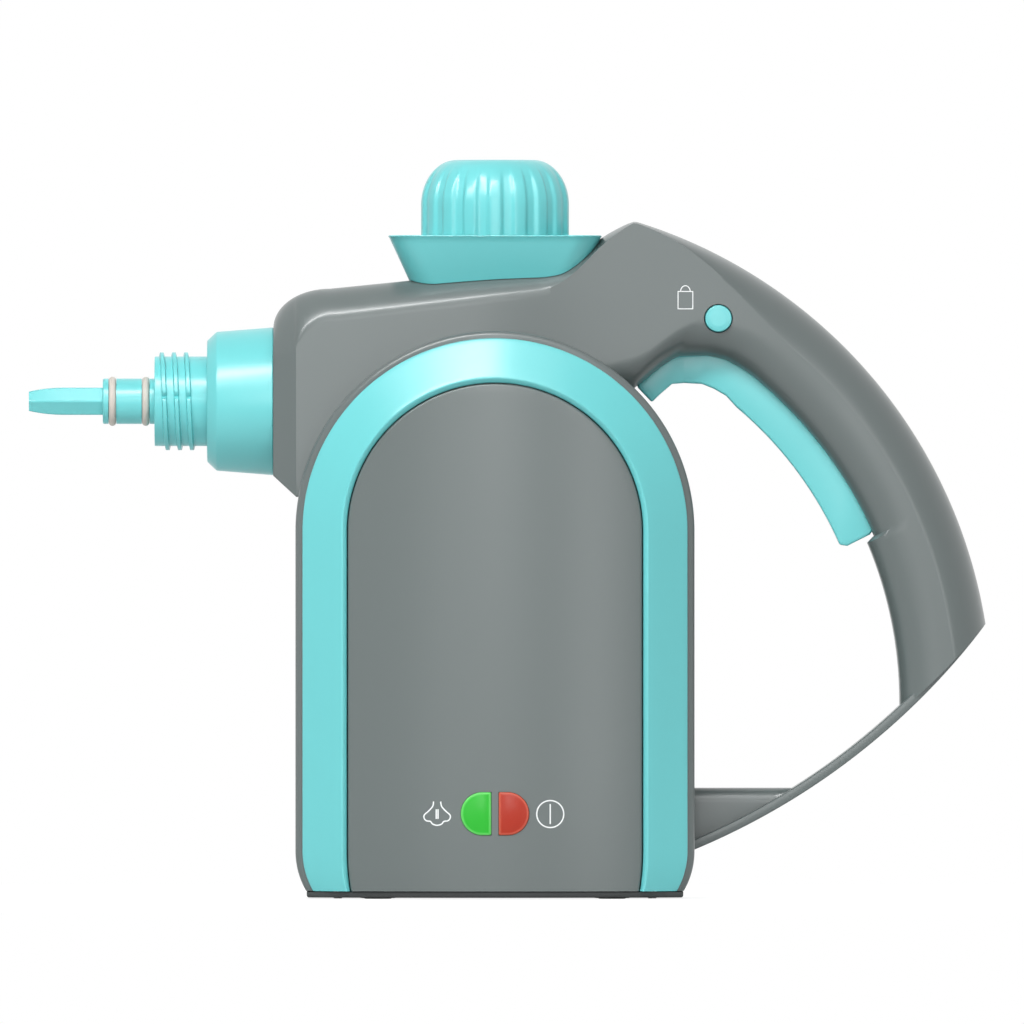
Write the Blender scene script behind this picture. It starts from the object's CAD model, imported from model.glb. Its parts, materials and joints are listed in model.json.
import json
import math

import bmesh
import bpy
import numpy as np
from mathutils import Matrix, Vector


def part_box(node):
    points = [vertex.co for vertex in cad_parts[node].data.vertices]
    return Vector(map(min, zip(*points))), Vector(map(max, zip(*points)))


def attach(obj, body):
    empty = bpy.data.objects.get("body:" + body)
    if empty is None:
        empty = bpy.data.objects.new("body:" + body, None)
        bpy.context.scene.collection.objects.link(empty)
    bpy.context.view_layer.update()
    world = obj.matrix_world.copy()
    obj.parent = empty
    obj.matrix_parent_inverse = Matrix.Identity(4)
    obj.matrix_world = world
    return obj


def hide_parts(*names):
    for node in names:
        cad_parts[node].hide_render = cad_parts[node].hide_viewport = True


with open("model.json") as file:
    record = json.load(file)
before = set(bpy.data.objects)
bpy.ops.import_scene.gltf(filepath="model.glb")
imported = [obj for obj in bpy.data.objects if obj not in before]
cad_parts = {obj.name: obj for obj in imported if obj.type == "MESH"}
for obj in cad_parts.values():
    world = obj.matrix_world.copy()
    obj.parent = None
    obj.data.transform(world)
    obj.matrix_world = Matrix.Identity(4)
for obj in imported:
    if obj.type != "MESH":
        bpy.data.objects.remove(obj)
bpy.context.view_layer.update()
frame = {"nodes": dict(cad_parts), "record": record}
print("frame loaded,", len(frame["nodes"]), "nodes")

# Lengths are in metres, and angles in degrees where nothing else is said. Everything below is worked out
# round the body's upright centre line and moved to its place at the end
panLow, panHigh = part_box("base_pan")
centreX = (panLow.x + panHigh.x) / 2
scene = bpy.context.scene
gap = 0.0003  # between neighbouring pieces
axisHole = 0.0002  # turned solids keep this tiny radius at their axis


# Mesh helpers

def turnedOut(points, faces):
    # A closed surface has a positive volume when its faces point out: sum of p0 . (p1 x p2) over triangles
    tris = np.array([(f[0], f[i], f[i + 1]) for f in faces for i in range(1, len(f) - 1)])
    a, b, c = (points[tris[:, k]] for k in range(3))
    volume = np.einsum("ij,ij->i", a, np.cross(b, c)).sum()
    return faces if volume > 0 else [tuple(reversed(f)) for f in faces]


def placed(name, data):
    made = bpy.data.objects.new(name, data)
    scene.collection.objects.link(made)
    return made


def joined(*parts):
    # Coordinates spread to one shape and put side by side
    return np.stack(np.broadcast_arrays(*parts), axis=-1)


def meshFrom(name, points, faces, weld=2e-6):
    # New object from arrays, doubles merged, faces turned outwards, still round the centre line
    mesh = bpy.data.meshes.new(name)
    mesh.from_pydata(points.tolist(), [], turnedOut(points, faces))
    work = bmesh.new()
    work.from_mesh(mesh)
    bmesh.ops.remove_doubles(work, verts=work.verts, dist=weld)
    bmesh.ops.dissolve_degenerate(work, edges=work.edges, dist=weld)
    work.to_mesh(mesh)
    work.free()
    return placed(name, mesh)


def gridFaces(rows, columns, roundColumns=True, roundRows=False):
    # Quads between neighbours of a rows x columns grid; either way may close on itself
    r, c = np.meshgrid(np.arange(rows if roundRows else rows - 1),
                       np.arange(columns if roundColumns else columns - 1), indexing="ij")
    r2, c2 = (r + 1) % rows, (c + 1) % columns
    quads = np.stack([r * columns + c, r * columns + c2, r2 * columns + c2, r2 * columns + c], axis=-1)
    return [tuple(q) for q in quads.reshape(-1, 4).tolist()]


def tubeSurface(name, rings, closedEnds=True):
    # rings[u, v] are closed sections along a path; flat ends close the tube, or the path closes on itself
    rows, columns = rings.shape[:2]
    faces = gridFaces(rows, columns, True, not closedEnds)
    if closedEnds:
        faces += [tuple(range(columns - 1, -1, -1)), tuple(range((rows - 1) * columns, rows * columns))]
    return meshFrom(name, rings.reshape(-1, 3), faces)


def spun(name, profile, origin, axis, count, wobble=None):
    # Turned form: each (radius, distance) of the profile goes round the axis, and wobble(angle, distance)
    # adds to the radius
    radii, along = np.asarray(profile, float).T[:, :, None]
    turn = np.linspace(0, 2 * np.pi, count, endpoint=False)
    r = radii + (wobble(turn[None, :], along) if wobble else 0.0)
    a, b = r * np.cos(turn), r * np.sin(turn)
    order = {"x": (along, a, b), "z": (a, b, along), "y": (a, along, b)}[axis]
    return tubeSurface(name, joined(*order) + np.asarray(origin))


def roundedProfile(corners, radius, steps=4, most=0.45):
    # Line through the corners, each inner one cut by a quadratic curve from side to side, which takes at most
    # a set share of a side. A corner is one point or a whole row of points along a path
    corners = np.asarray(corners, float)
    t = np.linspace(0, 1, steps + 1).reshape(-1, *[1] * (corners.ndim - 1))
    parts = [corners[:1]]
    for before, at, after in zip(corners, corners[1:], corners[2:]):
        back, ahead = before - at, after - at
        lengthBack = np.linalg.norm(back, axis=-1, keepdims=True)
        lengthAhead = np.linalg.norm(ahead, axis=-1, keepdims=True)
        r = np.minimum(radius, most * np.minimum(lengthBack, lengthAhead))
        start, end = at + back / lengthBack * r, at + ahead / lengthAhead * r
        parts.append((1 - t) ** 2 * start + 2 * t * (1 - t) * at + t ** 2 * end)
    parts.append(corners[-1:])
    return np.concatenate(parts)


def plateSurface(name, outline, near, far, plane="xz"):
    # A flat outline carried from near to far across its plane
    first, second = np.asarray(outline, float).T
    orders = [(first, level, second) if plane == "xz" else (first, second, level) for level in (near, far)]
    return tubeSurface(name, np.array([joined(*order) for order in orders]))


def pin(name, radius, start, end, count=32):
    # Plain round bar between two points, used for holes and posts
    start, end = Vector(start), Vector(end)
    work = bmesh.new()
    bmesh.ops.create_cone(work, cap_ends=True, segments=count, radius1=radius, radius2=radius,
                          depth=(end - start).length)
    turn = Vector((0, 0, 1)).rotation_difference((end - start).normalized()).to_matrix().to_4x4()
    work.transform(Matrix.Translation((start + end) / 2) @ turn)
    mesh = bpy.data.meshes.new(name)
    work.to_mesh(mesh)
    work.free()
    return placed(name, mesh)


def block(name, low, high):
    corners = [(low[0], low[1]), (high[0], low[1]), (high[0], high[1]), (low[0], high[1])]
    return plateSurface(name, corners, low[2], high[2], "xy")


def settle(piece):
    # Turns the modifiers into the mesh
    bpy.context.view_layer.update()
    graph = bpy.context.evaluated_depsgraph_get()
    mesh = bpy.data.meshes.new_from_object(piece.evaluated_get(graph))
    piece.modifiers.clear()
    piece.data = mesh
    return piece


def combine(piece, tools, operation):
    # Each tool in turn is joined on, cut away or kept as the limit, and used up
    for tool in tools:
        step = piece.modifiers.new(operation.lower(), "BOOLEAN")
        step.operation = operation
        step.solver = "MANIFOLD"
        step.object = tool
        settle(piece)
        bpy.data.objects.remove(tool)
    return piece


def edged(piece, width, segments=3, degrees=50):
    step = piece.modifiers.new("edges", "BEVEL")
    step.width = width
    step.segments = segments
    step.limit_method = "ANGLE"
    step.angle_limit = math.radians(degrees)
    return settle(piece)


def finished(piece, slot, node, sharp, body="housing", look=None):
    # Moves the piece to its place, shades it and hands it to the frame
    piece.data.transform(Matrix.Translation((centreX, 0, 0)))
    piece.data.materials.clear()
    piece.data.materials.append(look or looks[slot])
    piece.data.shade_smooth()
    piece.data.set_sharp_from_angle(angle=math.radians(sharp))
    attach(piece, body)
    if node:
        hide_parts(node)


# Shader helpers

class Sock:
    # A shader socket that takes part in Python expressions: each operation adds a Math node
    def __init__(self, tree, socket=None):
        self.tree = tree
        self.socket = socket

    def add(self, kind, settings=None, values=None, output=0):
        # Any node: its settings first, a ramp's stops among them, then the value or link of each socket
        node = self.tree.nodes.new(kind)
        for key, value in (settings or {}).items():
            if key == "stops":
                setStops(node.color_ramp, value)
            else:
                setattr(node, key, value)
        for key, value in (values or {}).items():
            feed(node, key, value)
        return Sock(self.tree, node.outputs[output])

    def math(self, operation, *values):
        # Works on the values, or on this socket alone where none is given
        return self.add("ShaderNodeMath", {"operation": operation}, dict(enumerate(values or (self,))))

    def __add__(self, other):
        return self.math("ADD", self, other)

    def __radd__(self, other):
        return self.math("ADD", other, self)

    def __sub__(self, other):
        return self.math("SUBTRACT", self, other)

    def __rsub__(self, other):
        return self.math("SUBTRACT", other, self)

    def __mul__(self, other):
        return self.math("MULTIPLY", self, other)


def setStops(ramp, stops):
    ramp.elements[0].position, ramp.elements[0].color = stops[0]
    ramp.elements[1].position, ramp.elements[1].color = stops[-1]
    for place, colour in stops[1:-1]:
        ramp.elements.new(place).color = colour


def feed(node, name, value):
    # A link from another socket, or a plain value
    if isinstance(value, Sock):
        value.tree.links.new(value.socket, node.inputs[name])
    else:
        node.inputs[name].default_value = value


def newMaterial(name):
    made = bpy.data.materials.new(name)
    made.use_nodes = True
    return made, Sock(made.node_tree), made.node_tree.nodes["Principled BSDF"]


def mixColour(share, first, second):
    return share.add("ShaderNodeMix", {"data_type": "RGBA"}, {0: share, 6: first, 7: second}, 2)


def noise(place, scale, detail, roughness):
    values = {"Vector": place, "Scale": scale, "Detail": detail, "Roughness": roughness}
    return place.add("ShaderNodeTexNoise", None, values)


def bumped(height, strength, distance):
    return height.add("ShaderNodeBump", None, {"Strength": strength, "Distance": distance, "Height": height})


def shaded(colour, factor):
    # The colour made lighter or darker, with its alpha
    return tuple(min(c * factor, 1) for c in colour) + (1,)


plasticMarks = {
    # noises: scale, detail, roughness
    "flow": (22.0, 3.0, 0.5), "fine": (1900.0, 2.0, 0.6), "smudge": (90.0, 4.0, 0.65),
    "flowShare": 0.7, "fineShare": 0.3, "grainDepth": 0.00003,
    "glossDrop": 0.01, "smudgeGloss": 0.015, "fineGloss": 0.01,
}


def mouldedPlastic(name, colour, roughness, grain, drift, specular):
    # Flow marks as a slow drift of the colour, a fine spark-eroded grain and uneven gloss
    marks = plasticMarks
    made, root, shader = newMaterial(name)
    place = root.add("ShaderNodeTexCoord", output=3)
    flow, fine, smudge = (noise(place, *marks[key]) for key in ("flow", "fine", "smudge"))
    share = flow * marks["flowShare"] + fine * marks["fineShare"]
    feed(shader, "Base Color", mixColour(share, shaded(colour, 1 - drift), shaded(colour, 1 + drift)))
    least = roughness - marks["glossDrop"]
    feed(shader, "Roughness", least + smudge * marks["smudgeGloss"] + fine * marks["fineGloss"])
    feed(shader, "Normal", bumped(fine, grain, marks["grainDepth"]))
    feed(shader, "Specular IOR Level", specular)
    return made


metalMarks = {"detail": 4.0, "roughness": 0.7, "dark": 0.82, "gloss": 0.12, "bump": 0.2, "depth": 0.00005}


def metal(name, colour, roughness, scale, squeeze):
    # Bare metal: fine brushed or cast streaks, squeezed along Z
    marks = metalMarks
    made, root, shader = newMaterial(name)
    place = root.add("ShaderNodeTexCoord", output=3)
    squeezed = place.add("ShaderNodeMapping", None, {"Vector": place, "Scale": (1.0, 1.0, squeeze)})
    streaks = noise(squeezed, scale, marks["detail"], marks["roughness"])
    feed(shader, "Base Color", mixColour(streaks, shaded(colour, marks["dark"]), shaded(colour, 1)))
    feed(shader, "Metallic", 1.0)
    feed(shader, "Roughness", roughness + streaks * marks["gloss"])
    feed(shader, "Normal", bumped(streaks, marks["bump"], marks["depth"]))
    return made


lensLook = {
    "rimFrom": 0.86, "rimTo": 0.95, "prismScale": 2400.0, "prismGloss": 0.02, "prismBump": 0.06,
    "prismDepth": 0.00005, "gloss": 0.22, "glow": 0.04, "shine": 0.3,
    # colours of the face and the rim
    "green": ((0.024, 0.46, 0.030), (0.13, 0.64, 0.13)), "red": ((0.41, 0.030, 0.012), (0.56, 0.10, 0.06)),
}


def lampLens(name, key, side, flatX, arcX, middleZ, radius):
    # Moulded lens with a prism grid behind it and a paler rim. The rim follows the D: the distance from its
    # arc's centre line, or the nearness to its flat side, whichever is more
    made, root, shader = newMaterial(name)
    place = root.add("ShaderNodeTexCoord", output=3)
    x, z = (place.add("ShaderNodeSeparateXYZ", None, {0: place}, axis) for axis in "XZ")
    beyond = ((x - arcX) * side).math("MAXIMUM", (x - arcX) * side, 0.0)
    up = z - middleZ
    far = (beyond * beyond + up * up).math("SQRT") * (1 / radius)
    near = 1.0 - (x - flatX) * (side / radius)
    rim = far.math("MAXIMUM", far, near)
    colour, edge = (shaded(c, 1) for c in lensLook[key])
    stops = [(0.0, colour), (lensLook["rimFrom"], colour), (lensLook["rimTo"], edge), (1.0, edge)]
    ramp = rim.add("ShaderNodeValToRGB", {"stops": stops}, {0: rim})
    prism = (x * lensLook["prismScale"]).math("SINE") * (z * lensLook["prismScale"]).math("SINE")
    feed(shader, "Base Color", ramp)
    feed(shader, "Emission Color", ramp)
    feed(shader, "Emission Strength", lensLook["glow"])
    feed(shader, "Roughness", lensLook["gloss"] + prism * lensLook["prismGloss"])
    feed(shader, "Specular IOR Level", lensLook["shine"])
    feed(shader, "Normal", bumped(prism, lensLook["prismBump"], lensLook["prismDepth"]))
    return made


plastics = {
    # slot: name, colour, roughness, grain, drift of the colour, specular level
    "grey_plastic": ("greyPlastic", (0.110, 0.134, 0.132), 0.28, 0.05, 0.015, 0.75),
    "teal_plastic": ("tealPlastic", (0.137, 0.585, 0.60), 0.28, 0.15, 0.03, 0.75),
    "dark_plastic": ("darkPlastic", (0.042, 0.047, 0.047), 0.42, 0.5, 0.1, 0.5),
    "black_rubber": ("blackRubber", (0.022, 0.023, 0.024), 0.72, 0.8, 0.15, 0.3),
    "beige_rubber": ("ringRubber", (0.60, 0.55, 0.50), 0.5, 0.4, 0.06, 0.4),
    "circuit_board": ("boardGreen", (0.03, 0.19, 0.07), 0.4, 0.3, 0.2, 0.5),
    "silicone_tube": ("siliconeTube", (0.76, 0.76, 0.72), 0.35, 0.2, 0.05, 0.5),
}
metals = {
    # slot: name, colour, roughness, scale of the streaks, their squeeze along Z
    "aluminium": ("castAluminium", (0.75, 0.76, 0.77), 0.34, 260.0, 1.0),
    "steel": ("brightSteel", (0.62, 0.62, 0.61), 0.22, 500.0, 6.0),
    "brass": ("turnedBrass", (0.75, 0.55, 0.25), 0.22, 500.0, 8.0),
}
looks = {slot: mouldedPlastic(*values) for slot, values in plastics.items()}
looks.update({slot: metal(*values) for slot, values in metals.items()})
printInk = mouldedPlastic("printInk", (0.86, 0.88, 0.88), 0.45, 0.2, 0.02, 0.4)
print("materials made")


# Body: an arch from the side, barrel shaped from above

body = {
    "radius": 0.0622, "archHeight": 0.1147, "low": 0.0025, "wall": 0.0025,
    "bulgeRadius": 0.178, "panelDepth": 0.056, "rimStep": 0.0065, "rimRound": 0.0015,
    "panelRadius": 0.0458, "panelRound": 0.0006,
    "tuckHeight": 0.015, "tuckRadius": 0.025, "panelTuckShare": 0.3,
    "archSteps": 120, "tuckSteps": 22, "sideSteps": 10, "faceSteps": 22, "rimSteps": 7,
}


def bulgeDrop(x):
    # The barrel: a circle seen from above
    return body["bulgeRadius"] - np.sqrt(body["bulgeRadius"] ** 2 - np.square(x))


def panelDepth(x):
    return body["panelDepth"] - bulgeDrop(x)


def rimDepth(x):
    return panelDepth(x) - body["rimStep"]


def tuckIn(z):
    # The ends draw in along a circle near the base
    drop = np.maximum(body["tuckHeight"] - z, 0.0)
    return body["tuckRadius"] - np.sqrt(body["tuckRadius"] ** 2 - drop ** 2)


def archLine(low, tuckShare):
    # Unit arch from the right foot over the top to the left foot: side, lift, height and tuck of each point.
    # x = side * (radius - tuck), z = height + lift * radius
    knee, top = body["tuckHeight"], body["archHeight"]
    straight = np.concatenate([np.linspace(low, knee, body["tuckSteps"], endpoint=False),
                               np.linspace(knee, top, body["sideSteps"], endpoint=False)])
    turn = np.linspace(0, np.pi, body["archSteps"] + 1)
    side = np.concatenate([np.ones(len(straight)), np.cos(turn), -np.ones(len(straight))])
    lift = np.concatenate([np.zeros(len(straight)), np.sin(turn), np.zeros(len(straight))])
    height = np.concatenate([straight, np.full(len(turn), top), straight[::-1]])
    return side, lift, height, tuckShare * tuckIn(height)


def archSolid(name, radius, depth, tuckShare, low, grow=0.0, edge=1e-5):
    # Closed arch block: u runs along the arch, v from the middle of the front face out to the edge, over a
    # rounded rim, across the side and back to the middle of the rear face; one flat face closes its foot
    side, lift, height, tuck = archLine(low, tuckShare)
    reach = radius + grow
    turn = np.linspace(0, np.pi / 2, body["rimSteps"])[1:, None]
    inset, sink = edge * (1 - np.sin(turn)), edge * (1 - np.cos(turn))
    share = np.linspace(0, 1, body["faceSteps"])[:, None]
    x = np.concatenate([share * side * (reach - edge - tuck), side * (reach - inset - tuck)])
    z = height + lift * np.concatenate([share * (reach - edge), reach - inset])
    front = joined(x, np.concatenate([0 * share, sink]) - depth(x) - grow, z)
    sheet = np.concatenate([front, front[::-1] * np.array([1, -1, 1])]).transpose(1, 0, 2)
    made = meshFrom(name, sheet.reshape(-1, 3), gridFaces(*sheet.shape[:2], False))
    work = bmesh.new()
    work.from_mesh(made.data)
    bmesh.ops.contextual_create(work, geom=[e for e in work.edges if e.is_boundary])
    bmesh.ops.recalc_face_normals(work, faces=work.faces)
    work.to_mesh(made.data)
    work.free()
    return made


# Neck and handle: one section carried from the nose along the roof to the apex and down the handle. The turns
# are counted from straight up, and the creases are in radians

neck = {
    "front": 0.0692, "halfWidth": 0.030, "bevelLength": 0.0072, "bevelSide": 0.0062,
    "faceLow": 0.1319, "chin": 0.0066, "faceTop": 0.1781, "noseLength": 0.0176, "noseHeight": 0.0122,
    "round": 0.0088, "roundEnd": 0.0074, "roundAcross": 0.0135, "crease": 0.36, "bottomRound": 0.0006,
    "roofEnd": 0.0156, "roofRise": 0.0068, "taperFrom": -0.012, "taperTo": 0.112,
    "cornerX": -0.050, "cornerZ": 0.1697, "cornerRadius": 0.0122, "cornerLeast": 0.9,
    "hornX": (0.0, 0.227, 0.45, 0.64, 0.82, 1.0), "hornRise": (0.0, 0.091, 0.336, 0.64, 0.84, 1.0),
    "hornSoft": 0.12, "steps": (34, 30, 40),
}
handle = {
    "x": -0.0018, "z": 0.0611, "outer": 0.157, "thickness": 0.0288, "halfWidth": 0.017,
    "recess": 0.0028, "apexTurn": 16.7, "gripTurn": 42.0, "triggerEnd": 66.6, "end": 94.0,
    "rootDrop": 0.031, "rootTurn": (16.7, 20.0, 23.0, 24.7, 25.8, 26.8, 28.5, 32.1, 34.7, 38.0),
    "rootShare": (1.0, 0.95, 0.86, 0.755, 0.608, 0.457, 0.256, 0.0975, 0.028, 0.0), "rootSoft": 0.6,
    "lipHalf": 0.0108, "filletShare": 0.46, "crestShare": 0.60, "crease": 0.10, "rootRound": 0.0115,
    "apexRound": 0.0006, "stepTurn": 0.5, "steps": (52, 50, 46),
}


def eased(share):
    # Half a cosine wave from 0 to 1
    return 0.5 - 0.5 * np.cos(np.pi * np.clip(share, 0, 1))


def mixed(a, b, share):
    # From a to b in a straight line
    return a + (b - a) * share


def softInterp(x, places, values, reach):
    # Straight interpolation, then averaged over a short reach so that its corners turn smoothly
    offsets = np.linspace(-1, 1, 9)
    weights = 1 - offsets ** 2
    weights = weights / weights.sum()
    return sum(w * np.interp(x + o * reach, places, values) for o, w in zip(offsets, weights))


def polar(radius, degrees):
    # Point at this turn on a circle about the handle's centre
    turn = np.radians(degrees)
    return handle["x"] + radius * np.sin(turn), handle["z"] + radius * np.cos(turn)


def neckTop(x):
    # Elliptic nose, straight roof, horn up to the apex
    roofX, roofEnd = -neck["front"] + neck["noseLength"], neck["roofEnd"]
    along = np.clip((roofX - x) / neck["noseLength"], 0, 1)
    nose = neck["faceTop"] + neck["noseHeight"] * np.sqrt(1 - along ** 2)
    roof = neck["faceTop"] + neck["noseHeight"] + neck["roofRise"] * (x - roofX) / (roofEnd - roofX)
    apexX, apexZ = polar(handle["outer"], handle["apexTurn"])
    share = (x - roofEnd) / (apexX - roofEnd)
    start = neck["faceTop"] + neck["noseHeight"] + neck["roofRise"]
    horn = mixed(start, apexZ, softInterp(share, neck["hornX"], neck["hornRise"], neck["hornSoft"]))
    return np.where(x < roofX, nose, np.where(x < roofEnd, roof, horn))


def innerRadius(degrees):
    # Plain circle below the trigger; above it the edge is let in, and drops towards the body at the root
    base = handle["outer"] - handle["thickness"]
    share = softInterp(degrees, handle["rootTurn"], handle["rootShare"], handle["rootSoft"])
    recessed = base + handle["recess"] - handle["rootDrop"] * share
    return np.where(degrees > handle["triggerEnd"], base, recessed)


def sideHalf(x):
    # The sides draw in from the neck to the grip along half a cosine wave
    share = (x - neck["taperFrom"]) / (neck["taperTo"] - neck["taperFrom"])
    return mixed(neck["halfWidth"], handle["halfWidth"], eased(share))


def handleHalf(degrees):
    # Half width of the handle's section at this angle, taken at the section's middle
    return sideHalf(polar((handle["outer"] + innerRadius(degrees)) / 2, degrees)[0])


def sectionLine(*sizes):
    # Closed section per station (rows): flat inner face, elliptic inner corner, side, elliptic outer corner,
    # flat top. a runs from the inner to the outer edge, b across; the other side is its mirror. The outer
    # corner starts at the angle lead, which leaves a soft crease where it meets the side
    length, half, innerA, innerB, outerA, outerB, lead = (size[:, None] for size in sizes)
    t = np.linspace(0, 1, 4)[None, :]
    inTurn = np.linspace(0, np.pi / 2, 15)[None, 1:]
    outTurn = mixed(lead, np.pi / 2, np.linspace(0, 1, 17)[None, 1:])
    nearCrease = 0.965  # a short last step up the side keeps the crease's shading narrow
    side = np.append(np.linspace(0, nearCrease, 11)[1:], 1.0)[None, :]
    top = np.linspace(0, 1, 5)[None, 1:]
    outRise = (np.sin(outTurn) - np.sin(lead)) / (1 - np.sin(lead))
    a = [0 * half + 0 * t, innerA * (1 - np.cos(inTurn)), mixed(innerA, length - outerA, side),
         length - outerA + outerA * outRise, length + 0 * top]
    b = [(half - innerB) * t, half - innerB + innerB * np.sin(inTurn), half + 0 * side,
         half - outerB + outerB * np.cos(outTurn) / np.cos(lead), (half - outerB) * (1 - top)]
    a, b = np.concatenate(a, axis=1), np.concatenate(b, axis=1)
    return np.concatenate([a, a[:, -2:0:-1]], axis=1), np.concatenate([b, -b[:, -2:0:-1]], axis=1)


def neckStations(fine):
    # From the nose to the apex: foot and top of each section in the side view, then the sizes of its corners
    apexX = polar(handle["outer"], handle["apexTurn"])[0]
    roofX = -neck["front"] + neck["noseLength"]
    bevelX = -neck["front"] + neck["bevelLength"]
    noseSteps, roofSteps, hornSteps = (int(steps * fine) for steps in neck["steps"])
    nose = roofX - neck["noseLength"] * np.cos(np.linspace(0, np.pi / 2, noseSteps))
    straight = np.linspace(roofX, neck["roofEnd"], roofSteps)[1:]
    horn = np.linspace(neck["roofEnd"], apexX, hornSteps)[1:]
    x = np.sort(np.concatenate([nose, [bevelX], straight, horn]))
    share = np.clip((x - neck["roofEnd"]) / (apexX - neck["roofEnd"]), 0, 1)
    chin = neck["faceLow"] - neck["chin"]
    bevel = (x + neck["front"]) / neck["bevelLength"]
    lowZ = np.where(x < bevelX, mixed(neck["faceLow"], chin, bevel), chin)
    footX, footZ = polar(innerRadius(np.array(handle["apexTurn"])), handle["apexTurn"])
    lowX = np.where(share > 0, mixed(neck["roofEnd"], footX, share), x)
    topZ = neckTop(x)
    half = sideHalf((x + lowX) / 2) - neck["bevelSide"] * np.clip((bevelX - x) / neck["bevelLength"], 0, 1)
    # The side face's upper corner is round, so the band above it is taller there
    lean = np.clip((neck["cornerX"] - x) / neck["cornerRadius"], 0, 1)
    bandLow = neck["cornerZ"] + neck["cornerRadius"] * np.sqrt(1 - lean ** 2)
    roof = np.clip((x - neck["cornerX"]) / (neck["roofEnd"] - neck["cornerX"]), 0, 1)
    nearNose = np.maximum(topZ - bandLow, neck["round"] * neck["cornerLeast"])
    band = np.where(x < neck["cornerX"], nearNose, mixed(neck["round"], neck["roundEnd"], roof))
    inner = mixed(neck["bottomRound"], handle["rootRound"], share)
    return (joined(lowX, mixed(lowZ, footZ, share)), joined(x, topZ), half, inner, inner,
            mixed(band, handle["apexRound"], share), np.full(len(x), neck["roundAcross"]),
            np.full(len(x), neck["crease"]))


def handleStations(fine, stop):
    # From the apex down to the strap, the same values for each radial section
    start, full, step = handle["apexTurn"], handle["gripTurn"], handle["triggerEnd"]
    root = handle["rootTurn"][-1]
    rootSteps, gripSteps, endSteps = (int(steps * fine) for steps in handle["steps"])
    degrees = np.concatenate([np.linspace(start, root, rootSteps)[1:], np.linspace(root, step, gripSteps)[1:],
                              np.linspace(step + handle["stepTurn"], stop, endSteps)])
    inside = innerRadius(degrees)
    toGrip = eased((degrees - start) / (full - start))
    length, half = handle["outer"] - inside, handleHalf(degrees)
    crest = (1 - handle["crestShare"]) * handle["thickness"]
    return (joined(*polar(inside, degrees)), joined(*polar(handle["outer"], degrees)), half,
            mixed(handle["rootRound"], handle["filletShare"] * length, toGrip),
            mixed(handle["rootRound"], half - handle["lipHalf"], toGrip),
            mixed(handle["apexRound"], crest, toGrip), mixed(neck["roundAcross"], half, toGrip),
            mixed(neck["crease"], handle["crease"], toGrip))


def neckHandle(name, grow=0.0, end=None, fine=1.0):
    # All sections in one tube, each grown along itself and sideways
    both = zip(neckStations(fine), handleStations(fine, end or handle["end"]))
    foot, top, half, innerA, innerB, outerA, outerB, lead = (np.concatenate(pair) for pair in both)
    run = np.linalg.norm(top - foot, axis=1)
    along = (top - foot) / run[:, None]
    foot, run, half = foot - along * grow, run + 2 * grow, half + grow
    outerB = np.minimum(outerB + grow, half)
    a, b = sectionLine(run, half, innerA + grow, innerB + grow, outerA + grow, outerB, lead)
    x = foot[:, :1] + along[:, :1] * a
    b = b * sideHalf(x) / sideHalf((foot[:, :1] + top[:, :1]) / 2)
    rings = joined(x, b, foot[:, 1:] + along[:, 1:] * a)
    rings[0, :, 0] -= grow
    return tubeSurface(name, rings)


# Strap and gusset that close the handle's loop. The strap's turn is counted from straight down

strap = {
    "x": -0.0227, "z": 0.2190, "radius": 0.2208, "thickness": 0.003, "halfWidth": 0.0155,
    "from": 21.6, "round": 0.0007, "tuck": 0.05, "leastWidth": 0.03, "steps": 90, "cutHalf": 0.1,
    "gussetTop": 0.0344, "gussetHalf": 0.012, "gussetRound": 0.0045, "gussetTip": 0.0006,
    "gussetShare": 0.95, "gussetSteps": 50,
}


def meetTurn(radius, circle):
    # Angle from straight down at which a circle about the strap's centre meets one about the handle's centre
    across, up = handle["x"] - strap["x"], strap["z"] - handle["z"]
    apart = math.hypot(across, up)
    share = (radius ** 2 + apart ** 2 - circle ** 2) / (2 * radius * apart)
    return np.arctan2(across, up) + np.arccos(share)


def handleCut():
    # The handle ends half way through the strap at its inner edge, and the cut runs out to the strap's
    # underside
    middle = strap["radius"] - strap["thickness"] / 2
    first = meetTurn(middle, handle["outer"] - handle["thickness"])
    last = meetTurn(strap["radius"], handle["outer"])
    turn = np.linspace(-np.pi, np.pi, 720, endpoint=False)
    radius = mixed(middle, strap["radius"], np.clip((turn - first) / (last - first), 0, 1))
    outline = joined(strap["x"] + radius * np.sin(turn), strap["z"] - radius * np.cos(turn))
    return plateSurface("handleCut", outline, -strap["cutHalf"], strap["cutHalf"])


def strapSurface():
    # A bar of rounded section carried along an arc, its end cut along the handle's outer circle. It narrows
    # with the handle's round back
    t, h = strap["thickness"], strap["halfWidth"]
    section = roundedProfile([(0, 0), (0, -h), (t, -h), (t, h), (0, h), (0, 0)], strap["round"], 3)[1:-1]
    radii = strap["radius"] - t + section[:, 0]
    start, end = math.radians(strap["from"]), meetTurn(radii, handle["outer"])
    turn = mixed(start, end, np.linspace(0, 1, strap["steps"])[:, None])
    x, z = strap["x"] + radii * np.sin(turn), strap["z"] - radii * np.cos(turn)
    back = handle["thickness"] * (1 - handle["crestShare"])
    out = np.clip(1 - (handle["outer"] - np.hypot(x - handle["x"], z - handle["z"])) / back, 0, 1)
    narrow = handle["halfWidth"] / h * np.sqrt(1 - out ** 2) - strap["tuck"]
    width = np.minimum(1, np.maximum(narrow, strap["leastWidth"]))
    return tubeSurface("strapBar", joined(x, section[:, 1] * width, z))


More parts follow.
